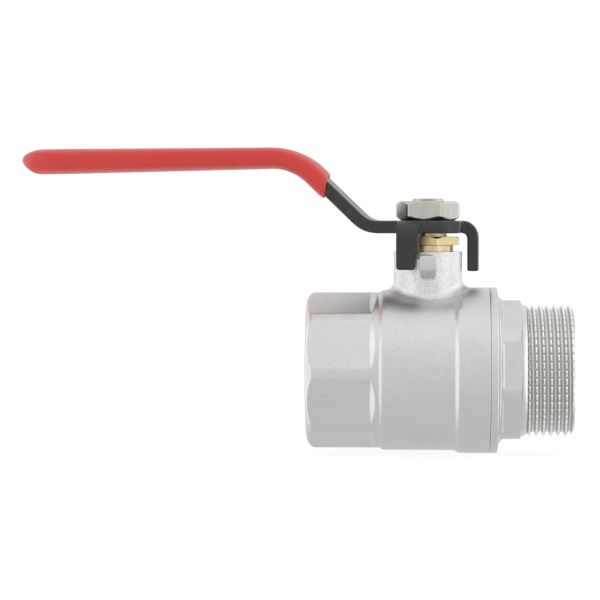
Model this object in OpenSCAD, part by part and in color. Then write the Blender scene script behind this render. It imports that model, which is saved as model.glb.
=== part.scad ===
// Ball valve with an inside inlet thread, an outside outlet thread and a bent lever.
// Millimetres. The origin is the ball's centre, +X runs to the outlet and +Z up the stem.

/* [Ports] */
// Outside diameter of the port thread, G 1 1/4
thread_d = 41.91; // [33:0.01:48]
// Height of the thread form, which sets the plain bore of the inlet
thread_h = 1.479; // [1:0.001:2]
// Bore of the ports, before their relief
bore_d = 30; // [20:0.5:33]
// Depth of the inlet socket
socket_l = 18; // [12:0.5:26]
// Wall between the socket and the inlet seat
web_t = 4.2; // [2:0.1:8]
// Length of the outlet thread
outlet_thread_l = 14.9; // [10:0.1:24]

/* [Body] */
// Wall of the barrel round the ball
barrel_wall = 3.5; // [2.5:0.1:6]
// Wall of the collar round the joint thread
collar_wall = 3.35; // [2.5:0.05:6]
// Wall over the inlet thread at the flats
inlet_wall = 2.545; // [2:0.005:6]
// Height of an octagon's turned corners over its flats
corner_h = 1.3; // [0.8:0.1:1.8]
// Wall of the neck
neck_wall = 2.8; // [2:0.1:5]
// Fillet round the foot of the neck
neck_fillet = 3; // [1.5:0.1:4]
// Width of the stop lug
lug_w = 5.6; // [4:0.1:9]
// Height of the stop lug's front
lug_h = 4.9; // [3.5:0.1:6]

/* [Outlet piece] */
// Step from the outlet thread up to the octagon's flats
outlet_step = 0.8; // [0:0.05:3]
// Turn of the outlet octagon where the joint comes tight
outlet_turn = 38.3; // [0:0.1:45]
// Wall of the joint thread outside the seat
joint_wall = 2.55; // [2:0.05:4]
// Length that is screwed into the body
joint_l = 7.6; // [7:0.1:12]
// Thickness of the flange's rim
flange_t = 2.5; // [1:0.1:4]
// Length of the octagon
octagon_l = 6.7; // [4:0.1:12]

/* [Ball and seats] */
// Diameter of the ball
ball_d = 43; // [41:0.5:50]
// Wall of the ball round the middle of its bore
ball_wall = 6.5; // [5:0.1:12]
// Length of a seat along the pipe
seat_l = 4.9; // [4:0.1:6]
// Radial width of a seat over the ball's bore
seat_w = 5.4; // [4.5:0.1:6]
// Depth of the slot for the stem
slot_depth = 4; // [3:0.1:5]
// Thickness of the stem's tongue
tongue_t = 7; // [4:0.1:10]

/* [Stem and packing] */
// Diameter of the stem
stem_d = 12; // [9:0.1:14]
// Across the flats that carry the lever
stem_flats = 9; // [7:0.1:10]
// Step from the stem out to its inner collar
stem_collar_w = 2; // [1:0.1:4]
// Thickness of the stem's inner collar
stem_collar_t = 2.4; // [1.5:0.1:4]
// Thickness of the thrust washer
washer_t = 1.2; // [0.5:0.1:2]
// Height of the body's shoulder over the washer
shoulder_t = 3.5; // [2.5:0.1:6]
// Height of one packing ring
packing_t = 2; // [1.2:0.1:4]
// Radial width of the packing
packing_w = 2.05; // [1.5:0.05:4]
// Length that the packing nut is screwed in
gland_l = 4.7; // [3:0.1:10]
// Spanner size of both nuts
nut_af = 18; // [17.5:0.5:22]
// Height of the packing nut's head
gland_head_t = 2.7; // [2:0.1:6]
// Height of the lever nut
nut_t = 6.2; // [4:0.1:10]

/* [Lever] */
// Angle of the handle short of its open stop
handle_angle = 4.5; // [0:0.5:85]
// Thickness of the lever plate
lever_t = 4; // [2.5:0.1:6]
// Stem axis to the lower bend
bend_x = 19; // [17:0.1:30]
// Rise from the hub to the grip
rise = 22.1; // [15:0.1:40]
// Slope between the bends
slope = 43.9; // [30:0.1:60]
// Stem axis to the end of the plate
reach = 129.4; // [100:0.1:200]
// Fall of the grip towards its end
droop = 0.8; // [0:0.1:5]
// Width of the arm at the lower bend
arm_w = 20; // [14:0.5:26]
// Width of the arm at the upper bend
waist_w = 19.2; // [14:0.5:26]
// Width of the arm at its end
end_w = 24; // [16:0.5:32]
// Width of the stop tab
tab_w = 6; // [4:0.1:8]
// Width of the closing hook
hook_w = 5; // [4:0.1:10]
// Thickness of the closing hook, drawn thinner by its bend
hook_t = 3.6; // [2:0.1:5.5]
// Length of the grip down the slope
grip_down = 4.5; // [2:0.1:8]
// Slant of the grip's mouth, which ends shorter at the top
mouth_slant = 1.9; // [0:0.1:3]
// Grip wall above and below the plate at the upper bend
grip_wall = 1.4; // [0.8:0.1:2.5]
// Grip wall above and below the plate at the end
grip_end_wall = 2; // [0.8:0.1:3]
// Grip wall along the sides and the nose
grip_side = 1.8; // [1.2:0.1:3]

/* [Hidden] */
$fn = 96;

// Gaps: screwed or pressed together, turning on each other, ball to seat, at the stops,
// ports to bore, nut chamfer to flats, packing nut to neck, lever to packing nut, stem over its nut
fit = 0.05;
run = 0.06;
seat_gap = 0.1;
stop_gap = 0.15;
port_relief = 0.5;
nut_land = 0.1;
gland_gap = 2;
lever_gap = 1.1;
stem_proud = 0.8;

// Ball, seats and the hollow of the body, out from the ball
ball_r = ball_d / 2;
bore_r = ball_r - ball_wall;
port_r = bore_d / 2 + port_relief;
cavity_r = ball_r + 0.5;
seat_bore_r = bore_r + 0.3;
seat_r = bore_r + seat_w;
seat_back = sqrt(ball_r * ball_r - bore_r * bore_r) + 1;
seat_front = seat_back - seat_l;
pocket_x = seat_front + 0.5;
pocket_r = seat_r + fit;
thread_r = thread_d / 2;
socket_r = thread_r - thread_h;
socket_chamfer = 0.9;
floor_x = -seat_back - web_t;
inlet_x = floor_x - socket_l;
joint_r = pocket_r + joint_wall;
joint_hole_r = joint_r + fit;
joint_hole_x = pocket_x - 0.5;
joint_x = pocket_x + joint_l;

// Outside of the body, whose barrel starts at the foot of the neck
neck_r = stem_d / 2 + packing_w + fit + neck_wall;
barrel_x0 = -neck_r - neck_fillet;
barrel_r = cavity_r + barrel_wall;
collar_r = joint_hole_r + collar_wall;
inlet_af = thread_d + 2 * inlet_wall;
corner_r = inlet_af / 2 + corner_h;
crown_l = 2.2;
crown_r0 = thread_r + 0.15;
crown_r = ((corner_r - crown_r0) ^ 2 + crown_l ^ 2) / (2 * crown_l);
crown_a = asin((corner_r - crown_r0) / crown_r);
shoulder_l = 1.9;
barrel_x1 = joint_hole_x - 3.4;
flat_end = barrel_x0 - 4.9;
flat_runout = 2.2;

// Outlet piece
outlet_af = thread_d + 2 * outlet_step;
outlet_corner_r = outlet_af / 2 + corner_h;
flange_x = joint_x + flange_t;
flange_round = 0.6;
flange_cone = 0.6;
groove_x = flange_x + flange_cone + 0.3;
octagon_bevel = 0.65;
octagon_x = groove_x + octagon_l;
thread_x = octagon_x + 1.6;
outlet_x = thread_x + outlet_thread_l;
thread_chamfer = 1.1;
ring_d = 1.5;
ring_half = ring_d / 2 + 0.1;
ring_x = joint_x - 1.7;

// Stem and packing, stacked up from the ball
stem_r = stem_d / 2;
collar_z = ball_r + 0.5;
stem_collar_r = stem_r + stem_collar_w;
washer_z = collar_z + stem_collar_t + run;
shoulder_z = washer_z + washer_t;
box_z = shoulder_z + shoulder_t;
nose_z = box_z + 2 * packing_t;
gland_r = stem_r + packing_w;
box_r = gland_r + fit;
packing_slant = 0.4;
neck_top = nose_z + gland_l;
gland_z = neck_top + gland_gap;
lever_z = gland_z + gland_head_t + lever_gap;
nut_z = lever_z + lever_t;
stem_top = nut_z + nut_t + stem_proud;
stem_chamfer = 1.3;
stem_ring_d = 1.6;
stem_ring_half = stem_ring_d / 2 + 0.1;
stem_ring_r = stem_r + run / 2 - stem_ring_d / 2;
stem_ring_z = shoulder_z + shoulder_t / 2;
gland_turn = 46.6;
nut_turn = 56.1;

// Neck, lug, and the lever's tabs that meet the lug
tab_face = neck_r + 0.6;
hook_face = neck_r + 1.4;
lug_tip = tab_face + lever_t;
lug_top = neck_top - 1;
lug_low = lug_top - lug_h;
lug_round = 1.4;
lug_slope = 2;
tab_low = lug_low + 0.2;
tab_edge = lug_w / 2 + stop_gap;
tab_notch = 1.1;
tab_bend = 1.5;
tab_round = 0.75;
hub_r = tab_face + 2;

// Lever path in the XZ plane
bend_r = 9;
upper_r = 20;
lever_mid = lever_z + lever_t / 2;
upper_x = -bend_x - rise / tan(slope);
bend_c = [bend_r * tan(slope / 2) - bend_x, lever_mid + bend_r];
upper_run = upper_r * tan((slope + droop) / 2);
upper_a = [upper_x + upper_run * cos(slope), lever_mid + rise - upper_run * sin(slope)];
upper_c = upper_a - upper_r * [sin(slope), cos(slope)];
upper_b = upper_c + upper_r * [-sin(droop), cos(droop)];
end_r = end_w / 2;
end_x = end_r - reach;

// Grip: squareness of its sections, and height of the nose's point over the plate's middle
grip_power = 0.6;
nose_rise = 0.95;

function arc(c, r, a0, a1, n) = [for (i = [0:n]) let (a = a0 + (a1 - a0) * i / n) c + r * [cos(a), sin(a)]];

// A smooth step of radius along the pipe
function ease(x0, r0, x1, r1, n = 8) =
    [for (i = [0:n]) [x0 + (x1 - x0) * i / n, r0 + (r1 - r0) * (1 - cos(180 * i / n)) / 2]];

function reversed(list) = [for (i = [len(list) - 1:-1:0]) list[i]];

// Height of the lever's middle on the grip's straight line
function grip_line(x) = upper_b[1] + (x - upper_b[0]) * tan(droop);

// One face of the lever, off is its height over the middle
function lever_face(off) = concat(
    [[hook_face - tab_bend, lever_mid + off]],
    arc(bend_c, bend_r - off, 270, 270 - slope, 6),
    arc(upper_c, upper_r + off, 90 - slope, 90 + droop, 10),
    [[-reach, grip_line(-reach) + off]]);

// Half width of the arm, x is measured along the hub
function arm_half(x) =
    lookup(x, [[end_x, end_r], [upper_x, waist_w / 2], [-bend_x, arm_w / 2], [0, arm_w / 2]]);

// Radius of the body's outside between the neck's two sides
function body_r(x) = x < barrel_x1 ? barrel_r : x > barrel_x1 + shoulder_l ? collar_r :
    barrel_r + (collar_r - barrel_r) * (1 - cos(180 * (x - barrel_x1) / shoulder_l)) / 2;

// Height of the body's outside at radius r from the stem in direction a
function body_z(r, a) = sqrt(body_r(r * cos(a)) ^ 2 - (r * sin(a)) ^ 2);

// Turns an outline of [length, radius] about the pipe axis
module lathe(outline)
    rotate([0, 90, 0])
        rotate_extrude()
            polygon([for (p = outline) [p[1], p[0]]]);

// Turns an outline of [radius, height] about the stem axis
module turn(outline)
    rotate_extrude()
        polygon(outline);

// Stands a flat shape in the XZ plane, from y0 to y1
module across(y0, y1)
    translate([0, y1, 0])
        rotate([90, 0, 0])
            linear_extrude(height = y1 - y0)
                children();

// Places what turns with the handle
module turned()
    rotate([0, 0, -handle_angle])
        children();

// Cutters for eight flats, rounded out at x1
module flats(af, x0, x1, r, turn)
    for (i = [0:7])
        rotate([turn + 45 * i, 0, 0])
            linear_extrude(height = af, center = true) {
                translate([min(x0, x1), af / 2])
                    square([abs(x1 - x0), af / 4]);
                translate([x1, af / 2 + r])
                    circle(r);
            }

// Hexagon turned to a 30 degree chamfer at its top, or at both ends
module hexagon(z, h, turn, both) {
    face_r = nut_af / 2 - nut_land;
    corner = nut_af / 2 / cos(30);
    out_r = corner + 1;
    cut = (out_r - face_r) * tan(30);
    intersection() {
        translate([0, 0, z])
            rotate([0, 0, turn])
                cylinder(h = h, r = corner, $fn = 6);
        turn(concat(
            [[0, z]],
            both ? [[face_r, z], [out_r, z + cut]] : [[out_r, z]],
            [[out_r, z + h - cut], [face_r, z + h], [0, z + h]]));
    }
}

// Round stock with two flats that face the Y axis
module flatted(r, across_flats, z0, z1)
    intersection() {
        translate([0, 0, z0])
            cylinder(h = z1 - z0, r = r);
        translate([-r - 1, -across_flats / 2, z0 - 1])
            cube([2 * r + 2, across_flats, z1 - z0 + 2]);
    }

// Fillet between neck and barrel: in each direction round the stem a rolled arc, sunk a little at both ends
module neck_foot() {
    n = 48;
    m = 7;
    sink = 0.06;
    rows = [for (i = [0:n - 1])
        let (a = 360 * i / n,
             rc = neck_r + neck_fillet,
             g = (body_z(rc + 0.1, a) - body_z(rc - 0.1, a)) / 0.2,
             lean = atan(g),
             foot = rc + neck_fillet * sin(lean),
             c = [rc, body_z(foot, a) + neck_fillet * cos(lean)],
             rim = arc(c, neck_fillet + sink, 176, 274 + lean, m),
             low = body_z(foot, a) - 1,
             line = concat(rim, [[rim[m][0], low], [neck_r - 1.2, low], [neck_r - 1.2, rim[0][1]]]))
        [for (p = line) [p[0] * cos(a), p[0] * sin(a), p[1]]]];
    k = m + 4;
    polyhedron(
        points = [for (row = rows) for (p = row) p],
        faces = [for (i = [0:n - 1]) for (j = [0:k - 1]) for (half = [0, 1])
            let (i2 = (i + 1) % n, j2 = (j + 1) % k)
            half == 0 ? [i * k + j, i * k + j2, i2 * k + j] : [i * k + j2, i2 * k + j2, i2 * k + j]]);
}

// Stop lug: a rounded front over a sloping underside
module lug()
    intersection() {
        rotate([90, 0, 0])
            linear_extrude(height = lug_tip)
                polygon(concat(
                    [[lug_w / 2, lug_low - 4]],
                    arc([lug_w / 2 - lug_round, lug_top - lug_round], lug_round, 0, 90, 6),
                    arc([lug_round - lug_w / 2, lug_top - lug_round], lug_round, 90, 180, 6),
                    [[-lug_w / 2, lug_low - 4]]));
        rotate([90, 0, 90])
            linear_extrude(height = lug_w + 2, center = true)
                polygon([[-lug_tip, lug_top + 1], [-lug_tip, lug_low], [-neck_r, lug_low - lug_slope],
                         [-box_r - 1, lug_low - lug_slope], [-box_r - 1, lug_top + 1]]);
    }

module body()
    color("silver")
        difference() {
            union() {
                difference() {
                    lathe(concat(
                        [[inlet_x, 0]],
                        arc([inlet_x + crown_r, crown_r0], crown_r, 180, 180 - crown_a, 8),
                        ease(barrel_x0 - shoulder_l, corner_r, barrel_x0, barrel_r),
                        ease(barrel_x1, barrel_r, barrel_x1 + shoulder_l, collar_r),
                        [[joint_x, collar_r], [joint_x, 0]]));
                    flats(inlet_af, inlet_x - 1, flat_end, flat_runout, 22.5);
                }
                cylinder(h = neck_top, r = neck_r);
                neck_foot();
                lug();
            }
            lathe([[inlet_x - 1, 0], [inlet_x - 1, socket_r + socket_chamfer + 1],
                   [inlet_x + socket_chamfer, socket_r], [floor_x, socket_r], [floor_x, port_r],
                   [-seat_back, port_r], [-seat_back, pocket_r], [-pocket_x, pocket_r],
                   [-pocket_x, cavity_r], [joint_hole_x, cavity_r], [joint_hole_x, joint_hole_r],
                   [joint_x + 1, joint_hole_r], [joint_x + 1, 0]]);
            turn([[0, bore_r], [stem_collar_r + 0.3, bore_r], [stem_collar_r + 0.3, shoulder_z],
                  [stem_r + run, shoulder_z], [stem_r + run, box_z], [box_r, box_z],
                  [box_r, neck_top + 1], [0, neck_top + 1]]);
        }

module end_connector()
    color("silver")
        difference() {
            lathe(concat(
                [[pocket_x, 0], [pocket_x, joint_r], [joint_x, joint_r], [joint_x, collar_r]],
                arc([flange_x - flange_round, collar_r - flange_round], flange_round, 90, 15, 4),
                [[flange_x + flange_cone, outlet_corner_r],
                 [octagon_x - octagon_bevel, outlet_corner_r], [octagon_x, outlet_af / 2 - 0.2],
                 [octagon_x, thread_r - 0.35], [thread_x, thread_r - 0.35], [thread_x, thread_r],
                 [outlet_x - thread_chamfer, thread_r], [outlet_x, thread_r - 1.6], [outlet_x, 0]]));
            flats(outlet_af, octagon_x + 1, groove_x + 0.8, 0.8, outlet_turn);
            lathe([[pocket_x - 1, 0], [pocket_x - 1, pocket_r], [seat_back, pocket_r], [seat_back, port_r],
                   [outlet_x + 1, port_r], [outlet_x + 1, 0]]);
            lathe([[ring_x - ring_half, joint_hole_r - ring_d], [ring_x - ring_half, joint_r + 1],
                   [ring_x + ring_half, joint_r + 1], [ring_x + ring_half, joint_hole_r - ring_d]]);
        }

module connector_o_ring()
    color("dimgray")
        translate([ring_x, 0, 0])
            rotate([0, 90, 0])
                rotate_extrude()
                    translate([joint_hole_r - ring_d / 2, 0])
                        circle(ring_d / 2);

module ball()
    color("lightgray")
        turned()
            difference() {
                sphere(ball_r);
                translate([-ball_d, 0, 0])
                    rotate([0, 90, 0])
                        cylinder(h = 2 * ball_d, r = bore_r);
                translate([-tongue_t / 2 - run, -ball_r, ball_r - slot_depth])
                    cube([tongue_t + 2 * run, ball_d, slot_depth + 1]);
            }

// Ring that bears on the ball, on the outlet's side
module seat()
    difference() {
        lathe([[seat_front, seat_bore_r], [seat_front, seat_r], [seat_back, seat_r], [seat_back, seat_bore_r]]);
        sphere(ball_r + seat_gap);
    }

module inlet_seat()
    color("white")
        mirror([1, 0, 0])
            seat();

module outlet_seat()
    color("white")
        seat();

module stem()
    color("goldenrod")
        turned() {
            intersection() {
                translate([0, 0, ball_r - slot_depth + 0.2])
                    cylinder(h = collar_z - ball_r + slot_depth, r = stem_collar_r);
                translate([-tongue_t / 2, -stem_collar_r, 0])
                    cube([tongue_t, 2 * stem_collar_r, neck_top]);
            }
            difference() {
                translate([0, 0, collar_z])
                    turn([[0, 0], [stem_collar_r, 0], [stem_collar_r, stem_collar_t], [stem_r, stem_collar_t],
                          [stem_r, lever_z - collar_z], [0, lever_z - collar_z]]);
                turn([[stem_ring_r - stem_ring_d / 2, stem_ring_z - stem_ring_half],
                      [stem_r + 1, stem_ring_z - stem_ring_half], [stem_r + 1, stem_ring_z + stem_ring_half],
                      [stem_ring_r - stem_ring_d / 2, stem_ring_z + stem_ring_half]]);
            }
            intersection() {
                flatted(stem_r, stem_flats, lever_z - 1, stem_top);
                turn([[0, lever_z - 1], [stem_r + 1, lever_z - 1], [stem_r + 1, stem_top - stem_chamfer - 1],
                      [stem_r - stem_chamfer, stem_top], [0, stem_top]]);
            }
        }

module thrust_washer()
    color("white")
        turn([[stem_r + run, washer_z], [stem_collar_r, washer_z],
              [stem_collar_r, shoulder_z], [stem_r + run, shoulder_z]]);

module stem_o_ring()
    color("dimgray")
        translate([0, 0, stem_ring_z])
            rotate_extrude()
                translate([stem_ring_r, 0])
                    circle(stem_ring_d / 2);

module packing_ring_lower()
    color("white")
        turn([[stem_r + run, box_z], [gland_r, box_z], [gland_r, box_z + packing_t + packing_slant],
              [stem_r + run, box_z + packing_t - packing_slant]]);

module packing_ring_upper()
    color("white")
        turn([[stem_r + run, box_z + packing_t - packing_slant], [gland_r, box_z + packing_t + packing_slant],
              [gland_r, nose_z], [stem_r + run, nose_z]]);

module packing_nut()
    color("goldenrod")
        difference() {
            union() {
                translate([0, 0, nose_z])
                    cylinder(h = gland_z - nose_z + 0.5, r = gland_r);
                hexagon(gland_z, gland_head_t, gland_turn, false);
            }
            translate([0, 0, nose_z - 1])
                cylinder(h = neck_top, r = stem_r + run);
        }

// Bent plate of the arm and hub, without its tabs and hole
module lever_plate()
    intersection() {
        across(-hub_r - end_w, hub_r + end_w)
            polygon(concat(lever_face(lever_t / 2), reversed(lever_face(-lever_t / 2))));
        translate([0, 0, neck_top])
            linear_extrude(height = rise + 2 * neck_top) {
                polygon(concat(
                    [for (x = [end_x, upper_x, -bend_x, 0]) [x, arm_half(x)]],
                    [for (x = [0, -bend_x, upper_x, end_x]) [x, -arm_half(x)]]));
                translate([end_x, 0])
                    circle(end_r);
                circle(hub_r);
            }
    }

// Tab that leaves the hub along +X and bends down, from y0 to y1, its lower corners rounded
module tab(face, t, low, y0, y1)
    intersection() {
        across(y0, y1)
            polygon(concat(
                [[0, lever_z]],
                arc([face - tab_bend, lever_z - tab_bend], tab_bend, 90, 0, 4),
                [[face, low], [face + t, low]],
                [for (a = [0:10:90])
                    [face - tab_bend + (tab_bend + t) * cos(a), lever_z - tab_bend + (tab_bend + lever_t) * sin(a)]],
                [[0, nut_z]]));
        rotate([90, 0, 90])
            linear_extrude(height = face + t)
                polygon(concat(
                    arc([y0 + tab_round, low + tab_round], tab_round, 180, 270, 4),
                    arc([y1 - tab_round, low + tab_round], tab_round, 270, 360, 4),
                    [[y1, nut_z], [y0, nut_z]]));
    }

module lever()
    color("dimgray")
        turned()
            difference() {
                union() {
                    lever_plate();
                    rotate([0, 0, -90]) {
                        tab(tab_face, lever_t, tab_low, -tab_edge - tab_w, -tab_edge);
                        tab(tab_face, lever_t, lug_top + 2 * stop_gap, -tab_edge - tab_w, tab_notch - tab_edge);
                    }
                    tab(hook_face, hook_t, tab_low - 0.7, tab_edge, tab_edge + hook_w);
                }
                flatted(stem_r + fit, stem_flats + 2 * fit, lever_z - 1, nut_z + 1);
            }

// Grip section at a point of the lever's middle, facing a, half width w and half height h, its top leaning back by slant
function grip_ring(p, a, w, h, slant = 0, n = 28) =
    [for (i = [0:n - 1])
        let (t = 360 * i / n,
             u = w * sign(cos(t)) * abs(cos(t)) ^ grip_power,
             v = h * sign(sin(t)) * abs(sin(t)) ^ grip_power,
             s = -slant * v / h)
        [p[0] + v * cos(a) + s * sin(a), u, p[1] + v * sin(a) - s * cos(a)]];

// Dipped grip: sections along the arm that swell towards a round nose
module grip_shell() {
    nose_r = end_r + grip_side;
    mouth = upper_a + grip_down * [cos(slope), -sin(slope)];
    half_0 = lever_t / 2 + grip_wall;
    half_1 = lever_t / 2 + grip_end_wall;
    side = grip_side;
    slope_rings = [for (i = [0:3])
        let (p = mouth + (upper_a - mouth) * i / 4)
        grip_ring(p, 90 - slope, arm_half(p[0]) + side, half_0, mouth_slant * (1 - i / 4))];
    bend_rings = [for (i = [0:8])
        let (a = 90 - slope + (slope + droop) * i / 8, p = upper_c + upper_r * [cos(a), sin(a)])
        grip_ring(p, a, arm_half(p[0]) + side, half_0)];
    straight_rings = [for (i = [1:6])
        let (x = upper_b[0] + (end_x - upper_b[0]) * i / 6)
        grip_ring([x, grip_line(x)], 90 + droop, arm_half(x) + side, half_0 + (half_1 - half_0) * i / 6)];
    nose_rings = [for (b = [15, 30, 42, 52, 60, 68, 75, 81, 86])
        let (x = end_x - nose_r * sin(b), k = max(0, (sin(b) - 0.7) / 0.3))
        grip_ring([x, grip_line(x) + nose_rise * k * k], 90 + droop, nose_r * cos(b), half_1 * sqrt(1 - 0.9 * k * k))];
    rings = concat(slope_rings, bend_rings, straight_rings, nose_rings);
    n = len(rings[0]);
    last = len(rings) - 1;
    polyhedron(
        points = [for (ring = rings) for (p = ring) p],
        faces = concat(
            [[for (i = [0:n - 1]) i]],
            [for (j = [0:last - 1]) for (i = [0:n - 1]) for (half = [0, 1])
                let (i2 = (i + 1) % n)
                half == 0 ? [j * n + i, (j + 1) * n + i, j * n + i2]
                          : [j * n + i2, (j + 1) * n + i, (j + 1) * n + i2]],
            [[for (i = [n - 1:-1:0]) last * n + i]]));
}

module grip()
    color("firebrick")
        turned()
            difference() {
                grip_shell();
                lever_plate();
            }

module handle_nut()
    color("silver")
        turned()
            difference() {
                hexagon(nut_z, nut_t, nut_turn, true);
                translate([0, 0, nut_z - 1])
                    cylinder(h = nut_t + 2, r = stem_r + fit);
            }

body();
end_connector();
connector_o_ring();
ball();
inlet_seat();
outlet_seat();
stem();
thrust_washer();
stem_o_ring();
packing_ring_lower();
packing_ring_upper();
packing_nut();
lever();
grip();
handle_nut();
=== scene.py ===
"""Looks of a ball valve: plated body and outlet piece, brass stem and nut, bent lever with a dipped grip.

Sizes are in millimetres in the part's own frame: the ball's centre is the origin, +X runs to the outlet and
+Z up the stem.
"""

import math

import bmesh
import bpy
import numpy as np
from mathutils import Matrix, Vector


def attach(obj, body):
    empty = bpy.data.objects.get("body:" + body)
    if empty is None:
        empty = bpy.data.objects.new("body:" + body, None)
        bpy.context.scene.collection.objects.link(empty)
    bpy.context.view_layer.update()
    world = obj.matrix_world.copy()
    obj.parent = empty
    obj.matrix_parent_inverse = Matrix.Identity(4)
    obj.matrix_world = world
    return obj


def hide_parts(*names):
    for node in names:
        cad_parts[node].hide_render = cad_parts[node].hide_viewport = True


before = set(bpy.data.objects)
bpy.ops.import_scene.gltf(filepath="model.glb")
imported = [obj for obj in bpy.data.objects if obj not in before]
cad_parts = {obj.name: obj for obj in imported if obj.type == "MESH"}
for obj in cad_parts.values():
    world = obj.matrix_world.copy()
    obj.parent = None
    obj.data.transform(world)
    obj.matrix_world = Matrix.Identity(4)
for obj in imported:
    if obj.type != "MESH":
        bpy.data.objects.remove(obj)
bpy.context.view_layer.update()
MM = 0.001

# Gaps between pieces: fixed to each other, and turning
FIT = 0.05
RUN = 0.06

# Widths over which edges are rounded
CRISP_EDGE = 0.1
TURNED_EDGE = 0.12
FORMED_EDGE = 0.14

# Pipe thread of both ports
THREAD_R = 20.955
THREAD_H = 1.479
PITCH = 2.309
FLANK_ANGLE = math.radians(27.5)
ROOT_ROUND = 0.137 * PITCH

# Ball, seats and ports, out from the ball
BALL_R = 21.5
BORE_R = 15.0
PORT_R = BORE_R + 0.5
CAVITY_R = BALL_R + 0.5
POCKET_R = BORE_R + 5.4 + FIT
SEAT_BACK = math.sqrt(BALL_R**2 - BORE_R**2) + 1.0
POCKET_X = SEAT_BACK - 4.4
FLOOR_X = -SEAT_BACK - 4.2
INLET_X = FLOOR_X - 18.0
SOCKET_R = THREAD_R - THREAD_H
SOCKET_CHAMFER = 0.9
SOCKET_FADE = 3.0

# Joint between the body and the outlet piece, with its ring's groove
JOINT_R = POCKET_R + 2.55
JOINT_HOLE_R = JOINT_R + FIT
JOINT_HOLE_X = POCKET_X - 0.5
JOINT_X = POCKET_X + 7.6
JOINT_LIP = 0.25
RING_D = 1.5
RING_X = JOINT_X - 1.7
RING_HALF = 0.85

# Stem and what is stacked on it, up from the ball
STEM_R = 6.0
STEM_HOLE_R = STEM_R + RUN
STEM_COLLAR_R = STEM_R + 2.0
COLLAR_HOLE_R = STEM_COLLAR_R + 0.3
STEM_FLATS = 9.0
TONGUE_T = 7.0
TONGUE_Z = BALL_R - 3.8
STEM_COLLAR_Z = BALL_R + 0.5
STEM_COLLAR_TOP = STEM_COLLAR_Z + 2.4
SHOULDER_Z = STEM_COLLAR_TOP + RUN + 1.2
BOX_Z = SHOULDER_Z + 3.5
NOSE_Z = BOX_Z + 4.0
NECK_TOP = NOSE_Z + 4.7
GLAND_Z = NECK_TOP + 2.0
GLAND_TOP = GLAND_Z + 2.7
LEVER_Z = GLAND_TOP + 1.1
LEVER_T = 4.0
NUT_Z = LEVER_Z + LEVER_T
NUT_TOP = NUT_Z + 6.2
STEM_TOP = NUT_TOP + 0.8
STEM_RING_Z = SHOULDER_Z + 1.75
STEM_RING_HALF = 0.9
STEM_GROOVE_R = 4.43
STEM_END_R = 4.95

# Neck and stop lug; the lug's plan flares at its foot, and its chin leans under its front
GLAND_R = STEM_R + 2.05
BOX_R = GLAND_R + FIT
NECK_R = BOX_R + 2.8
NECK_FILLET = 3.0
NECK_LIP = 0.3
LUG_TIP = NECK_R + 0.6 + LEVER_T
LUG_TOP = NECK_TOP - 1.0
LUG_LOW = LUG_TOP - 4.9
LUG_HALF = 2.8
LUG_ROUND = 1.4
LUG_SLOPE = 2.6
LUG_CHIN = 0.4
LUG_CHIN_H = 1.8
LUG_FOOT = 11.5
LUG_FLARE = 3.45

# Outside of the body
INLET_APOTHEM = THREAD_R + 2.545
CORNER_H = 1.3
CORNER_R = INLET_APOTHEM + CORNER_H
BARREL_R = CAVITY_R + 3.5
COLLAR_R = JOINT_HOLE_R + 3.35
CROWN_R0 = THREAD_R + 0.15
CROWN_L = 2.2
CROWN_R = ((CORNER_R - CROWN_R0) ** 2 + CROWN_L**2) / (2 * CROWN_L)
BARREL_X0 = -NECK_R - NECK_FILLET
BARREL_X1 = JOINT_HOLE_X - 3.4
SHOULDER_L = 1.9
FLAT_END = BARREL_X0 - 4.6
FLAT_HALF_ANGLE = math.acos(INLET_APOTHEM / CORNER_R)
RUNOUT_L = 2.3
RUNOUT_SLOPE = 0.7
RUNOUT_EASE = 0.4
RUNOUT_BOW = 0.5

# Patch round the stem in which the neck replaces the barrel, outside and in the hollow
PATCH_X = 14.6
PATCH_X_INSIDE = 11.2
PATCH_ANGLE = math.radians(37.5)

# Outlet piece
FLANGE_X = JOINT_X + 2.5
FLANGE_ROUND = 0.6
GROOVE_X = FLANGE_X + 0.9
GROOVE_ROUND = 0.65
OCTAGON_X = GROOVE_X + 6.7
OUTLET_APOTHEM = THREAD_R + 0.8
OUTLET_CORNER_R = OUTLET_APOTHEM + CORNER_H
OUTLET_TURN = math.radians(38.3)
OUTLET_RUNOUT = 1.3
OUTLET_THREAD_X = OCTAGON_X + 1.6
OUTLET_X = OUTLET_THREAD_X + 14.9
END_CHAMFER = 1.1
END_CHAMFER_R = 1.6
FIRST_CREST = 33.4
NOTCHES = 50
NOTCH_DEPTH = 0.62
NOTCH_LAND = 0.24
THREAD_START_R = THREAD_R - 0.75

# Nuts, turned as in the solids
NUT_AF = 18.0
NUT_WORN = 0.1
NUT_CORNER = 0.45
NUT_LAND = 0.1
NUT_FOOT_LAND = 0.5
NUT_CONE = math.radians(40)
GLAND_LAND = 0.5
GLAND_TURN = 46.6
NUT_TURN = 56.1

# Lever and grip, in the handle's own direction
HANDLE_TURN = math.radians(-4.5)
BEND_X = 19.0
RISE = 22.1
SLOPE = math.radians(43.9)
DROOP = math.radians(0.8)
UPPER_R = 20.0
REACH = 129.4
END_R = 12.0
END_X = END_R - REACH
WAIST_X = -49.24
WAIST_HALF = 9.6
ARM_HALF = 10.0
LEVER_MESH = 0.36
GRIP_DOWN = 4.5
GRIP_WALL = 1.4
GRIP_END_WALL = 2.0
GRIP_SIDE = 1.8
GRIP_FIT = 0.01
GRIP_SQUARENESS = 3.3
NOSE_RISE = 0.95
NOSE_TOP_L = 7.0
NOSE_LOW_L = 5.6
MOUTH_ROWS = 10
MOUTH_SHIFT = 0.6
MOUTH_SKEW = 1.9
MOUTH_TURN = 0.9


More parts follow.
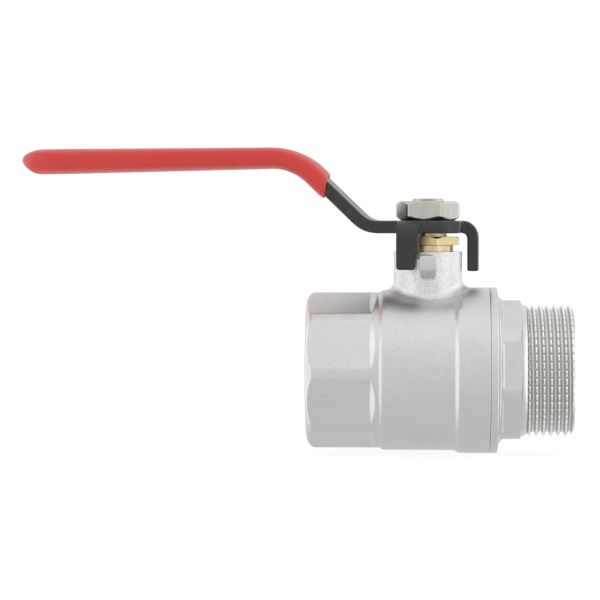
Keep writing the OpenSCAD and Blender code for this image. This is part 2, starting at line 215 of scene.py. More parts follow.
def soft_min(a, b, k):
    """The smaller of two lengths, with their corner rounded over a band k wide."""
    h = np.clip(0.5 + 0.5 * (b - a) / k, 0, 1)
    return b + (a - b) * h - k * h * (1 - h)


def ease(x, x0, x1):
    """0 before x0 and 1 after x1, half a cosine wave between."""
    return (1 - np.cos(np.pi * np.clip((x - x0) / (x1 - x0), 0, 1))) / 2


def numbers(grid):
    """Vertex numbers of a grid of points."""
    return np.arange(grid.shape[0] * grid.shape[1]).reshape(grid.shape[:2])


def quads_between(ids, wrap=False):
    """Quads between neighbouring rows and columns of vertices; wrap joins the last column to the first."""
    right = np.roll(ids, -1, 1) if wrap else ids[:, 1:]
    left = ids if wrap else ids[:, :-1]
    return np.stack([left[:-1], right[:-1], right[1:], left[1:]], -1).reshape(-1, 4)


def hoop(grid):
    """Quads of a grid whose rows close on themselves and whose last row joins the first."""
    ids = numbers(grid)
    return quads_between(np.concatenate([ids, ids[:1]]), wrap=True)


def about_pipe(x, r, angle):
    """Points at radius r from the pipe axis; the angle starts at the top and turns to the front."""
    x, r, angle = np.broadcast_arrays(x, r, angle)
    return np.stack([x, -r * np.sin(angle), r * np.cos(angle)], -1)


def about_stem(r, z, angle):
    """Points at radius r from the stem axis; the angle starts at the front and turns to the outlet."""
    r, z, angle = np.broadcast_arrays(r, z, angle)
    return np.stack([r * np.sin(angle), -r * np.cos(angle), z], -1)


def pipe_rings(profile, angle):
    """Rings about the pipe axis, one for each row of place and radius."""
    rows = np.asarray(profile, float)
    return about_pipe(rows[:, :1], rows[:, 1:], angle)


def stem_rings(profile, angle):
    """Rings about the stem axis, one for each row of radius and height."""
    rows = np.asarray(profile, float)
    return about_stem(rows[:, :1], rows[:, 1:], angle)


def handle_place(points):
    """Turns points about the stem axis to the handle's place in the rest pose."""
    cos, sin = math.cos(HANDLE_TURN), math.sin(HANDLE_TURN)
    x, y, z = np.moveaxis(points, -1, 0)
    return np.stack([x * cos - y * sin, x * sin + y * cos, z], -1)


def rounded_path(corners, cuts, arc_rows, line_rows):
    """Rows along a polyline; each corner becomes a parabola that starts and ends its cut away from it."""
    corners = np.asarray(corners, float)
    rows = []
    start = corners[0]
    for i, cut in enumerate(cuts, 1):
        before, here, after = corners[i - 1], corners[i], corners[i + 1]
        a = here + (before - here) * (cut / np.linalg.norm(before - here, axis=-1))[..., None]
        b = here + (after - here) * (cut / np.linalg.norm(after - here, axis=-1))[..., None]
        for t in np.arange(line_rows) / line_rows:
            rows.append(start + (a - start) * t)
        for t in np.arange(arc_rows) / arc_rows:
            rows.append((1 - t) ** 2 * a + 2 * t * (1 - t) * here + t * t * b)
        start = b
    for t in np.linspace(0, 1, line_rows + 1):
        rows.append(start + (corners[-1] - start) * t)
    return np.stack(rows)


def piece(name, points, quads, finishes, body, node, finish_of=None, sharp=35.0):
    """Makes one closed mesh from points in millimetres, welds its seams and rides it in place of its solid.

    Edges turn sharp above an angle in degrees, and finish_of gives each quad the number of its finish.
    """
    mesh = bpy.data.meshes.new(name)
    mesh.from_pydata((points.reshape(-1, 3) * MM).tolist(), [], quads.tolist())
    for finish in finishes:
        mesh.materials.append(finish)
    if finish_of is not None:
        mesh.polygons.foreach_set("material_index", finish_of.astype(np.int32))
    work = bmesh.new()
    work.from_mesh(mesh)
    bmesh.ops.remove_doubles(work, verts=work.verts, dist=2e-6)
    bmesh.ops.dissolve_degenerate(work, edges=work.edges, dist=1e-6)
    bmesh.ops.recalc_face_normals(work, faces=work.faces)
    work.to_mesh(mesh)
    work.free()
    mesh.polygons.foreach_set("use_smooth", np.ones(len(mesh.polygons), bool))
    mesh.set_sharp_from_angle(angle=math.radians(sharp))
    made = bpy.data.objects.new(name, mesh)
    bpy.context.scene.collection.objects.link(made)
    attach(made, body)
    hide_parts(node)


# Finishes


def colour(text):
    """Linear RGBA of an sRGB hex colour."""
    c = np.array([int(text[i : i + 2], 16) for i in (1, 3, 5)]) / 255
    return (*np.where(c <= 0.04045, c / 12.92, ((c + 0.055) / 1.055) ** 2.4), 1.0)


def add(tree, kind, inputs=(), **settings):
    """Adds one node; inputs maps its sockets, by name or number, to values or to other nodes' outputs.

    By number, a Mix goes from 6 to 7, or from 2 to 3 for plain numbers, as 0 says, and a MapRange takes 0
    from the range 1 to 2 into the range 3 to 4.
    """
    made = tree.nodes.new("ShaderNode" + kind)
    for key, value in settings.items():
        setattr(made, key, value)
    for key, value in dict(inputs).items():
        if isinstance(value, bpy.types.NodeSocket):
            tree.links.new(value, made.inputs[key])
        else:
            made.inputs[key].default_value = value
    return made


def surface(name, **constants):
    """A new material with its shader and the piece's own coordinates."""
    made = bpy.data.materials.new(name)
    made.use_nodes = True
    tree = made.node_tree
    shader = tree.nodes["Principled BSDF"]
    for key, value in constants.items():
        shader.inputs[key.replace("_", " ").title().replace("Ior", "IOR")].default_value = value
    return made, tree, shader, add(tree, "TexCoord").outputs["Object"]


def dress(tree, shader, tone, rough, bump=None):
    """Links a colour, a roughness and, where there is one, a bump to the shader."""
    tree.links.new(tone.outputs[2], shader.inputs["Base Color"])
    tree.links.new(rough.outputs[0], shader.inputs["Roughness"])
    if bump is not None:
        tree.links.new(bump.outputs[0], shader.inputs["Normal"])


# Range in which most values of a noise lie, as the sockets of a MapRange
NOISE_SPAN = {1: 0.3, 2: 0.7}


def per_mm(size):
    """Noise scale for features of a size in millimetres."""
    return 1 / (size * MM)


def blasted_nickel():
    """Nickel plate over a shot-blasted brass forging: light grey and satin, with a grain of small dents.

    The neck is blasted coarser than the rest, so it is duller there, with dark specks; its colour is also
    painted paler there, a painted highlight.
    """
    made, tree, shader, place = surface("blasted_nickel_plate", metallic=1.0)
    axis = add(tree, "SeparateXYZ", {0: place})
    outward = add(tree, "CombineXYZ", {0: axis.outputs[0], 1: axis.outputs[1]})
    radius = add(tree, "VectorMath", {0: outward.outputs[0]}, operation="LENGTH").outputs["Value"]
    foot, lug = (NECK_R + 2.5) * MM, (LUG_TIP - 0.3) * MM
    beside = add(tree, "MapRange", {0: radius, 1: foot, 2: lug, 3: 1.0, 4: 0.0})
    above = add(tree, "MapRange", {0: axis.outputs[2], 1: 15.0 * MM, 2: 18.0 * MM, 3: 0.0, 4: 1.0})
    neck = add(tree, "Math", {0: beside.outputs[0], 1: above.outputs[0]}, operation="MULTIPLY").outputs[0]
    coarse = add(tree, "MapRange", {0: neck, 3: 0.5, 4: 1.0}).outputs[0]
    # Shot dents are about 0.2 mm; they are drawn at 0.4 mm so that they show.
    grain = add(tree, "TexNoise", {"Vector": place, "Scale": per_mm(0.4), "Detail": 3.0, "Roughness": 0.6})
    cloud = add(tree, "TexNoise", {"Vector": place, "Scale": per_mm(9.0), "Detail": 2.0})
    # The third colour is the paler grey painted on the neck as a highlight; the same neck mask also makes
    # the blasting coarser there.
    low, high, painted_neck_highlight = colour("#CDCDCC"), colour("#D5D5D4"), colour("#DDDDDC")
    fine = add(tree, "Mix", {0: cloud.outputs[0], 6: low, 7: high}, data_type="RGBA")
    plain = add(tree, "Mix", {0: neck, 6: fine.outputs[2], 7: painted_neck_highlight}, data_type="RGBA").outputs[2]
    speck = add(tree, "MapRange", {0: grain.outputs[0], 1: 0.48, 2: 0.72, 3: 1.03, 4: 0.64})
    shown = add(tree, "Mix", {0: coarse, 2: 1.0, 3: speck.outputs[0]}).outputs[0]
    tone = add(tree, "Mix", {0: 1.0, 6: plain, 7: shown}, data_type="RGBA", blend_type="MULTIPLY")
    rough = add(tree, "MapRange", {0: neck, 3: 0.38, 4: 0.47})
    bump = add(tree, "Bump", {"Height": grain.outputs[0], "Strength": coarse, "Distance": 0.06 * MM})
    dress(tree, shader, tone, rough, bump)
    return made


def turned_nickel():
    """Nickel plate over turned brass: smoother and glossier, with fine rings of the tool round the pipe."""
    made, tree, shader, place = surface("turned_nickel_plate", metallic=1.0)
    along = add(tree, "SeparateXYZ", {0: place}).outputs[0]
    # Tool rings are about 0.1 mm apart; they are drawn at 0.3 mm so that they show.
    rings = add(tree, "TexNoise", {"W": along, "Scale": per_mm(0.3), "Detail": 2.0}, noise_dimensions="1D")
    cloud = add(tree, "TexNoise", {"Vector": place, "Scale": per_mm(4.0), "Detail": 3.0})
    low, high = colour("#CDCDCC"), colour("#DCDCDA")
    tone = add(tree, "Mix", {0: cloud.outputs[0], 6: low, 7: high}, data_type="RGBA")
    rough = add(tree, "MapRange", {0: rings.outputs[0], **NOISE_SPAN, 3: 0.2, 4: 0.3})
    bump = add(tree, "Bump", {"Height": rings.outputs[0], "Strength": 0.25, "Distance": 0.02 * MM})
    dress(tree, shader, tone, rough, bump)
    return made


def cut_thread_nickel():
    """Nickel plate over the cut thread, with light painted into its colour: crests painted bright as a
    highlight, flanks a darker grey as painted shade, and roots painted lighter again.
    """
    made, tree, shader, place = surface("cut_thread_nickel_painted_light", metallic=1.0)
    axis = add(tree, "SeparateXYZ", {0: place})
    outward = add(tree, "CombineXYZ", {1: axis.outputs[1], 2: axis.outputs[2]})
    radius = add(tree, "VectorMath", {0: outward.outputs[0]}, operation="LENGTH").outputs["Value"]
    # Colour by radius from the axis: a painted highlight on the crests, painted light in the roots and a
    # darker grey of painted shade on the flanks.
    root, crest = SOCKET_R * MM, THREAD_R * MM
    root_painted_light = add(tree, "MapRange", {0: radius, 1: root + 0.1 * MM, 2: root + 0.35 * MM, 3: 1.0, 4: 0.0})
    crest_painted_highlight = add(tree, "MapRange", {0: radius, 1: crest - 0.55 * MM, 2: crest - 0.2 * MM, 3: 0.0, 4: 1.0})
    cloud = add(tree, "TexNoise", {"Vector": place, "Scale": per_mm(3.0), "Detail": 3.0})
    low, high = colour("#B6B6B4"), colour("#C5C5C3")
    flank = add(tree, "Mix", {0: cloud.outputs[0], 6: low, 7: high}, data_type="RGBA").outputs[2]
    rooted = {0: root_painted_light.outputs[0], 6: flank, 7: colour("#DADAD8")}
    lower = add(tree, "Mix", rooted, data_type="RGBA").outputs[2]
    tone = add(tree, "Mix", {0: crest_painted_highlight.outputs[0], 6: lower, 7: colour("#F2F2F0")}, data_type="RGBA")
    rough = add(tree, "MapRange", {0: cloud.outputs[0], **NOISE_SPAN, 3: 0.16, 4: 0.24})
    dress(tree, shader, tone, rough)
    return made


def turned_brass(name, low, high):
    """Bare free-cutting brass: pale yellow, or greyer where dulled, with turning rings and some tarnish."""
    made, tree, shader, place = surface(name, metallic=1.0)
    height = add(tree, "SeparateXYZ", {0: place}).outputs[2]
    # Tool rings are about 0.1 mm apart; they are drawn at 0.25 mm so that they show.
    rings = add(tree, "TexNoise", {"W": height, "Scale": per_mm(0.25), "Detail": 2.0}, noise_dimensions="1D")
    tarnish = add(tree, "TexNoise", {"Vector": place, "Scale": per_mm(2.5), "Detail": 4.0})
    tone = add(tree, "Mix", {0: tarnish.outputs[0], 6: colour(low), 7: colour(high)}, data_type="RGBA")
    rough = add(tree, "MapRange", {0: tarnish.outputs[0], **NOISE_SPAN, 3: 0.42, 4: 0.3})
    bump = add(tree, "Bump", {"Height": rings.outputs[0], "Strength": 0.2, "Distance": 0.02 * MM})
    dress(tree, shader, tone, rough, bump)
    return made


def black_coating():
    """Black phosphate and lacquer on punched steel: charcoal, semi-matt, grainy, rubbed paler in places."""
    made, tree, shader, place = surface("black_coated_steel", specular_ior_level=0.55)
    grain = add(tree, "TexNoise", {"Vector": place, "Scale": per_mm(0.5), "Detail": 3.0})
    rubs = add(tree, "TexNoise", {"Vector": place, "Scale": per_mm(3.5), "Detail": 6.0, "Roughness": 0.65})
    worn = add(tree, "MapRange", {0: rubs.outputs[0], 1: 0.52, 2: 0.72, 3: 0.0, 4: 1.0})
    low, high = colour("#191B1B"), colour("#303231")
    tone = add(tree, "Mix", {0: worn.outputs[0], 6: low, 7: high}, data_type="RGBA")
    rough = add(tree, "MapRange", {0: grain.outputs[0], **NOISE_SPAN, 3: 0.26, 4: 0.36})
    bump = add(tree, "Bump", {"Height": grain.outputs[0], "Strength": 0.25, "Distance": 0.05 * MM})
    dress(tree, shader, tone, rough, bump)
    return made


def dipped_pvc():
    """Soft PVC that the lever was dipped in: red, semi-gloss, smooth with slow waves and a faint bloom."""
    made, tree, shader, place = surface("dipped_red_pvc", ior=1.53, specular_ior_level=0.25)
    waves = add(tree, "TexNoise", {"Vector": place, "Scale": per_mm(6.0), "Detail": 2.0})
    bloom = add(tree, "TexNoise", {"Vector": place, "Scale": per_mm(1.2), "Detail": 4.0})
    low, high = colour("#C03834"), colour("#C7403B")
    tone = add(tree, "Mix", {0: waves.outputs[0], 6: low, 7: high}, data_type="RGBA")
    rough = add(tree, "MapRange", {0: bloom.outputs[0], **NOISE_SPAN, 3: 0.36, 4: 0.46})
    bump = add(tree, "Bump", {"Height": waves.outputs[0], "Strength": 0.2, "Distance": 0.3 * MM})
    dress(tree, shader, tone, rough, bump)
    return made


def zinc_plate():
    """Zinc plate on a cold-formed steel nut: warm silver, fairly bright, with drawn streaks on the flats."""
    made, tree, shader, place = surface("zinc_plated_steel", metallic=1.0)
    streak = add(tree, "Mapping", {"Vector": place, "Scale": (1.0, 1.0, 0.15)}).outputs[0]
    lines = add(tree, "TexNoise", {"Vector": streak, "Scale": per_mm(1.2), "Detail": 3.0})
    stain = add(tree, "TexNoise", {"Vector": place, "Scale": per_mm(3.0), "Detail": 4.0})
    low, high = colour("#B6B3AD"), colour("#C8C5BF")
    tone = add(tree, "Mix", {0: stain.outputs[0], 6: low, 7: high}, data_type="RGBA")
    rough = add(tree, "MapRange", {0: lines.outputs[0], **NOISE_SPAN, 3: 0.2, 4: 0.32})
    bump = add(tree, "Bump", {"Height": lines.outputs[0], "Strength": 0.1, "Distance": 0.02 * MM})
    dress(tree, shader, tone, rough, bump)
    return made


def clouded(name, size, detail, tones, roughness, **constants):
    """A material whose colour and roughness follow one noise, each between two values."""
    made, tree, shader, place = surface(name, **constants)
    cloud = add(tree, "TexNoise", {"Vector": place, "Scale": per_mm(size), "Detail": detail}).outputs[0]
    low, high = colour(tones[0]), colour(tones[1])
    tone = add(tree, "Mix", {0: cloud, 6: low, 7: high}, data_type="RGBA")
    rough = add(tree, "MapRange", {0: cloud, **NOISE_SPAN, 3: roughness[0], 4: roughness[1]})
    dress(tree, shader, tone, rough)
    return made


def polished_chrome():
    """Hard chrome on the ball: mirror bright, very slightly clouded by lapping."""
    return clouded("polished_chrome_plate", 1.0, 5.0, ("#D6D8DA", "#E4E6E8"), (0.07, 0.13), metallic=1.0)


def white_ptfe():
    """Turned PTFE of the seats, washer and packing: waxy white, matt."""
    return clouded("turned_ptfe", 2.0, 3.0, ("#E4E3DE", "#F0EFEB"), (0.5, 0.6), ior=1.35)


def black_nbr():
    """Moulded nitrile rubber of the O-rings: black, matt with a slight bloom."""
    return clouded("moulded_nbr_rubber", 1.0, 3.0, ("#1C1C1C", "#2A2A2A"), (0.55, 0.7), ior=1.52)


BLASTED = blasted_nickel()
TURNED = turned_nickel()
CUT_THREAD = cut_thread_nickel()
BRASS = turned_brass("turned_brass", "#D0BA8E", "#E0CFA8")
DULL_BRASS = turned_brass("dulled_brass", "#A8A090", "#BDB6A6")
COATING = black_coating()
PVC = dipped_pvc()
ZINC = zinc_plate()
CHROME = polished_chrome()
PTFE = white_ptfe()
NBR = black_nbr()


# Body


def turned_radius(x):
    """Outside of the body without its flats: a round crown at the mouth, then cylinders and cosine steps."""
    inside = np.clip(1 - (x - INLET_X) / CROWN_R, -1, 1)
    crown = CROWN_R0 + CROWN_R * np.sqrt(np.maximum(0, 1 - inside**2))
    to_barrel = (BARREL_R - CORNER_R) * ease(x, BARREL_X0 - SHOULDER_L, BARREL_X0)
    to_collar = (COLLAR_R - BARREL_R) * ease(x, BARREL_X1, BARREL_X1 + SHOULDER_L)
    cylinders = CORNER_R + to_barrel + to_collar
    return np.where(x < INLET_X + CROWN_L, soft_min(crown, cylinders, TURNED_EDGE), cylinders)


def octagon_radius(angle, apothem, first):
    """Radius of eight flats: the apothem over the cosine of the angle from the nearest flat's middle."""
    off = (angle - first + np.pi / 8) % (np.pi / 4) - np.pi / 8
    return apothem / np.cos(off)


def body_radius(x, angle):
    """The turned outside cut by eight flats; they run out up a ramp that starts later off their middles."""
    off = (angle + np.pi / 4) % (np.pi / 4) - np.pi / 8
    past = np.maximum(0, x - FLAT_END - RUNOUT_BOW * (off / FLAT_HALF_ANGLE) ** 2)
    climb = np.where(past < RUNOUT_EASE, past**2 / (2 * RUNOUT_EASE), past - RUNOUT_EASE / 2)
    flats = octagon_radius(angle, INLET_APOTHEM + RUNOUT_SLOPE * climb, np.pi / 8)
    return soft_min(turned_radius(x), flats, FORMED_EDGE)


def thread_height(turns):
    """Pipe thread profile against turns from a crest: straight flanks, a flat crest and a round root."""
    from_crest = np.abs((turns + 0.5) % 1.0 - 0.5) * PITCH
    from_root = PITCH / 2 - from_crest
    root = ROOT_ROUND - np.sqrt(np.maximum(0, ROOT_ROUND**2 - from_root**2))
    flank = THREAD_H / 2 + (PITCH / 4 - from_crest) / math.tan(FLANK_ANGLE)
    return np.where(from_root < ROOT_ROUND * math.cos(FLANK_ANGLE), root, np.minimum(THREAD_H, flank))


def body_angles():
    """Angles round the pipe in eight equal sectors, close together at the octagon's corners."""
    half = np.array([0, 2.2, 3.0, 3.5, 3.9, 4.3, 4.8, 5.6, 8, 11.5, 15, 18.7, 22.5])
    sector = np.concatenate([half, 45 - half[-2:0:-1]])
    return np.radians(np.concatenate([sector + 45 * i for i in range(8)]) - 180)


def body_places():
    """Places of the rings along the outside, and those of them that cross the patch round the stem."""
    lead = np.linspace(0, 1.05 * math.asin((CORNER_R - CROWN_R0) / CROWN_R), 15)
    crown = INLET_X + CROWN_R * (1 - np.cos(lead))
    runout_end = FLAT_END + RUNOUT_L
    step_end = BARREL_X1 + SHOULDER_L
    patch = np.concatenate([
        np.linspace(-PATCH_X, BARREL_X1 - 0.3, 42),
        np.linspace(BARREL_X1, step_end + 0.1, 11),
        np.linspace(step_end + 0.7, PATCH_X, 6),
    ])
    outside = np.concatenate([
        crown[:-1],
        np.linspace(crown[-1], FLAT_END - 0.3, 11),
        np.linspace(FLAT_END, runout_end, 24),
        np.linspace(runout_end + 0.1, -PATCH_X - 0.15, 10),
        patch,
        np.linspace(PATCH_X + 0.9, JOINT_X - 0.3, 6),
    ])
    return outside, patch


def body_lip(angle):
    """Quarter round at the joint, from the collar's outside to its face."""
    turn = np.linspace(0, np.pi / 2, 5)
    x = JOINT_X - JOINT_LIP + JOINT_LIP * np.sin(turn)
    r = COLLAR_R - JOINT_LIP + JOINT_LIP * np.cos(turn)
    return pipe_rings(np.stack([x, r], -1), angle)


def body_hollow(angle, patch_rows):
    """Rings through the joint's hole, the hollow round the ball, the seat's pocket and the port.

    Also gives the number of rings before those that cross the patch under the neck.
    """
    joint = [[JOINT_X, JOINT_HOLE_R], [JOINT_HOLE_X, JOINT_HOLE_R], [JOINT_HOLE_X, CAVITY_R]]
    cavity = [[x, CAVITY_R] for x in np.linspace(PATCH_X_INSIDE, -PATCH_X_INSIDE, patch_rows)]
    pocket = [[-POCKET_X, CAVITY_R], [-POCKET_X, POCKET_R], [-SEAT_BACK, POCKET_R], [-SEAT_BACK, PORT_R]]
    port = [[FLOOR_X, PORT_R], [FLOOR_X, SOCKET_R]]
    return pipe_rings(joint + cavity + pocket + port, angle), len(joint)


def body_socket(angle):
    """Inside thread: its minor radius plus the thread's depth, fading out at the floor; then the mouth."""
    x = np.linspace(FLOOR_X - 0.1, INLET_X + SOCKET_CHAMFER + 0.6, 92)[:, None]
    fade = np.clip((FLOOR_X - x) / SOCKET_FADE, 0, 1)
    depth = THREAD_H - thread_height(x / PITCH - angle / (2 * np.pi))
    thread = about_pipe(x, SOCKET_R + depth * fade, angle)
    mouth_x = INLET_X + np.array([0.75, 0.35, 0])
    mouth_r = THREAD_R + np.array([-0.55, -0.25, 0.05])
    return np.concatenate([thread, pipe_rings(np.stack([mouth_x, mouth_r], -1), angle)])


def patch_rim(ids, low, high, left, right):
    """Vertex numbers round a patch, from the front's inlet side on towards the outlet."""
    step = 1 if high > low else -1
    front, back = ids[low:high:step, right], ids[high:low:-step, left]
    return np.concatenate([front, ids[high, right:left:-1], back, ids[low, left:right]])


def neck_angles(edge, front):
    """Angle about the stem of each point of the patch's edge; those in front gather at the lug's edges."""
    a = np.arctan2(edge[:, 0], -edge[:, 1])
    shares = [0, 0.08, 0.14, 0.29, 0.45, 0.55, 0.71, 0.86, 0.92, 1]
    lug_angles = np.radians([-22, -17.5, -11, -8, 8, 11, 17.5, 22])
    a[:front] = np.interp(np.arange(front) / front, shares, [a[0], *lug_angles, a[front]])
    return a


def barrel_height(x, y):
    """Height of the barrel's outside over a point of its plan."""
    return np.sqrt(turned_radius(x) ** 2 - y**2)


def neck_foot(edge, a):
    """Rows from the patch's edge along the barrel and up the fillet, and the height where the fillet ends.

    The fillet is the path of a rolling ball: at each angle the lowest one that touches the neck and rests on
    the barrel.
    """
    centre_r = NECK_R + NECK_FILLET
    r = np.linspace(NECK_R + 0.01, centre_r + NECK_FILLET - 0.01, 1500)[:, None]
    ground = barrel_height(r * np.sin(a), r * np.cos(a))
    rest = ground + np.sqrt(NECK_FILLET**2 - (r - centre_r) ** 2)
    centre_z = rest.max(0)
    foot_r = r[rest.argmax(0), 0]
    foot = np.stack([foot_r * np.sin(a), -foot_r * np.cos(a)], -1)
    t = np.linspace(0, 1, 8)[1:, None, None] ** 0.8
    plan = edge[:, :2] + (foot - edge[:, :2]) * t
    skirt = np.concatenate([plan, barrel_height(plan[..., 0], plan[..., 1])[..., None]], -1)
    foot_turn = np.arctan2(skirt[-1, :, 2] - centre_z, foot_r - centre_r)
    roll = foot_turn + (-np.pi - foot_turn) * np.linspace(0, 1, 13)[1:, None]
    fillet = about_stem(centre_r + NECK_FILLET * np.cos(roll), centre_z + NECK_FILLET * np.sin(roll), a)
    return np.concatenate([skirt, fillet]), centre_z


def neck_wall(a, centre_z):
    """Rows up the neck from its fillet to its top, with the stop lug in front.

    The lug's section is an outline of radius and height. Its plan, whose sides flare at their foot, gives
    the share of that section that stands out at each angle. Away from the lug the rows are level.
    """
    side = np.abs(a)
    tip = LUG_TIP / np.cos(np.minimum(side, 0.2))
    x = np.minimum(LUG_TIP * np.tan(np.minimum(side, 0.5)), LUG_HALF)
    past_round = np.maximum(0, x - LUG_HALF + LUG_ROUND)
    drop = LUG_ROUND - np.sqrt(np.maximum(0, LUG_ROUND**2 - past_round**2))
    top_z = NECK_TOP - NECK_LIP
    section = [
        (NECK_R, centre_z),
        (NECK_R, LUG_LOW - LUG_SLOPE),
        (tip - LUG_CHIN, LUG_LOW + 0.5 * drop),
        (tip, LUG_LOW + LUG_CHIN_H + 0.3 * drop),
        (tip, LUG_TOP - drop),
        (NECK_R, LUG_TOP - drop),
        (NECK_R, top_z),
    ]
    corners = np.stack([np.stack(np.broadcast_arrays(r, z, a)[:2], -1) for r, z in section])
    outline = rounded_path(corners, [0.9, 0.6, 0.6, 0.5, 0.4], 5, 3)
    flare_end = math.sqrt(NECK_R**2 - LUG_FLARE**2)
    plan = [(0, LUG_TIP), (LUG_HALF, LUG_TIP), (LUG_HALF, LUG_FOOT), (LUG_FLARE, flare_end)]
    plan = rounded_path(plan, [0.4, 0.5], 12, 12)
    plan_angle = np.arctan2(plan[:, 0], plan[:, 1])
    reach = np.interp(side, plan_angle, np.hypot(plan[:, 0], plan[:, 1]), right=NECK_R)
    share = np.clip((reach - NECK_R) / (tip - NECK_R), 0, 1)
    level = centre_z + (top_z - centre_z) * np.linspace(0, 1, len(outline))[:, None]
    near = 1 - ease(side, math.radians(21), math.radians(36))
    z = level + (outline[..., 1] - level) * near
    return about_stem(NECK_R + share * (outline[..., 0] - NECK_R), z, a)


def packing_box(a, edge_inside):
    """Rows over the neck's top, down the packing box and the stem's hole, then out to the hollow's patch."""
    rings = [
        [NECK_R - 0.3 * NECK_LIP, NECK_TOP - 0.3 * NECK_LIP],
        [NECK_R - NECK_LIP, NECK_TOP],
        [BOX_R + 0.5, NECK_TOP],
        [BOX_R, NECK_TOP - 0.5],
        [BOX_R, BOX_Z],
        [STEM_HOLE_R, BOX_Z],
        [STEM_HOLE_R, SHOULDER_Z],
        [COLLAR_HOLE_R, SHOULDER_Z],
    ]
    hole = np.stack([COLLAR_HOLE_R * np.sin(a), -COLLAR_HOLE_R * np.cos(a)], -1)
    t = np.linspace(0, 1, 6)[:-1, None, None]
    plan = hole + (edge_inside[:, :2] - hole) * t
    hollow = np.concatenate([plan, np.sqrt(CAVITY_R**2 - plan[..., 1] ** 2)[..., None]], -1)
    return np.concatenate([stem_rings(rings, a), hollow])


def make_body():
    """Body: a closed loop of rings, outside and inside, in which the neck replaces a patch round the stem.

    The neck's rows run from the patch's edge outside, up the neck, down the packing box and out to the edge
    of the same patch in the hollow, so that all of it is one closed surface.
    """
    angle = body_angles()
    outer_x, patch_x = body_places()
    outside = about_pipe(outer_x[:, None], body_radius(outer_x[:, None], angle), angle)
    outside = np.concatenate([outside, body_lip(angle)])
    hollow, before_patch = body_hollow(angle, len(patch_x))
    shell = np.concatenate([outside, hollow, body_socket(angle)])
    ids = numbers(shell)

    left, right = np.searchsorted(angle, [-PATCH_ANGLE, PATCH_ANGLE])
    first = int(np.searchsorted(outer_x, patch_x[0] - 1e-6))
    first_in = len(outside) + before_patch
    last, last_in = first + len(patch_x) - 1, first_in + len(patch_x) - 1
    keep = np.ones(ids.shape, bool)
    keep[first:last, left:right] = False
    keep[first_in:last_in, left:right] = False
    turned = np.zeros(ids.shape, int)
    turned[len(outside):] = 1

    rim, rim_in = patch_rim(ids, first, last, left, right), patch_rim(ids, last_in, first_in, left, right)
    points = shell.reshape(-1, 3)
    a = neck_angles(points[rim], len(patch_x) - 1)
    foot, centre_z = neck_foot(points[rim], a)
    blasted = np.concatenate([foot, neck_wall(a, centre_z)[1:]])
    neck = np.concatenate([blasted, packing_box(a, points[rim_in])])
    neck_ids = ids.size + numbers(neck)
    neck_quads = quads_between(np.concatenate([rim[None], neck_ids, rim_in[None]]), wrap=True)
    neck_turned = np.repeat(np.arange(len(neck) + 1) > len(blasted), neck.shape[1])

    quads = np.concatenate([hoop(shell)[keep.reshape(-1)], neck_quads])
    finish_of = np.concatenate([turned[keep], neck_turned])
    points = np.concatenate([points, neck.reshape(-1, 3)])
    finishes = [BLASTED, TURNED]
    piece("valve_body_shell", points, quads, finishes, "valve_body", "body", finish_of)


make_body()


# Outlet piece


def outlet_joint(angle):
    """Rings of the part that is screwed into the body, with its ring's groove, out to the flange's rim."""
    groove_r = JOINT_HOLE_R - RING_D
    return pipe_rings(
        [
            [POCKET_X, POCKET_R],
            [POCKET_X, JOINT_R - 0.4],
            [POCKET_X + 0.4, JOINT_R],
            [RING_X - RING_HALF, JOINT_R],
            [RING_X - RING_HALF, groove_r],
            [RING_X + RING_HALF, groove_r],
            [RING_X + RING_HALF, JOINT_R],
            [JOINT_X, JOINT_R],
            [JOINT_X, COLLAR_R - 0.3],
            [JOINT_X + 0.09, COLLAR_R - 0.09],
            [JOINT_X + 0.3, COLLAR_R],
        ],
        angle,
    )


def outlet_flange(angle):
    """Rings over the flange's round corner, down its face and into the hollow at the octagon's foot."""
    corner = np.radians([90, *np.linspace(90, 15, 7)])
    corner_x = FLANGE_X - FLANGE_ROUND + FLANGE_ROUND * np.cos(corner)
    corner_r = COLLAR_R - FLANGE_ROUND + FLANGE_ROUND * np.sin(corner)
    hollow = np.radians(np.linspace(195, 268, 8))
    hollow_x = GROOVE_X + 0.04 + GROOVE_ROUND * np.cos(hollow)
    hollow_r = OUTLET_CORNER_R + GROOVE_ROUND + GROOVE_ROUND * np.sin(hollow)
    rows = np.stack([np.concatenate([corner_x, hollow_x]), np.concatenate([corner_r, hollow_r])], -1)
    return pipe_rings(rows, angle)


def outlet_octagon(angle):
    """Rings of the octagon: its flats run out on a radius at the flange and in a bevel at the thread."""
    x = np.concatenate([
        np.linspace(GROOVE_X + 0.05, GROOVE_X + 1.4, 14),
        np.linspace(GROOVE_X + 1.8, OCTAGON_X - 1.1, 7),
        np.linspace(OCTAGON_X - 0.9, OCTAGON_X - 0.02, 9),
    ])[:, None]
    short = np.clip(GROOVE_X + OUTLET_RUNOUT - x, 0, OUTLET_RUNOUT)
    apothem = OUTLET_APOTHEM + OUTLET_RUNOUT - np.sqrt(OUTLET_RUNOUT**2 - short**2)
    bevel = np.minimum(OUTLET_CORNER_R, OUTLET_APOTHEM - 0.25 + (OCTAGON_X - x) * 2.4)
    flats = octagon_radius(angle, apothem, OUTLET_TURN)
    return about_pipe(x, soft_min(flats, bevel, CRISP_EDGE), angle)


def outlet_relief(angle):
    """Rings of the plain relief between the octagon and the thread."""
    return pipe_rings(
        [
            [OCTAGON_X, OUTLET_APOTHEM - 0.4],
            [OCTAGON_X + 0.05, THREAD_R + 0.15],
            [OUTLET_THREAD_X - 0.25, THREAD_R - 0.25],
            [OUTLET_THREAD_X - 0.12, THREAD_R - 0.4],
        ],
        angle,
    )


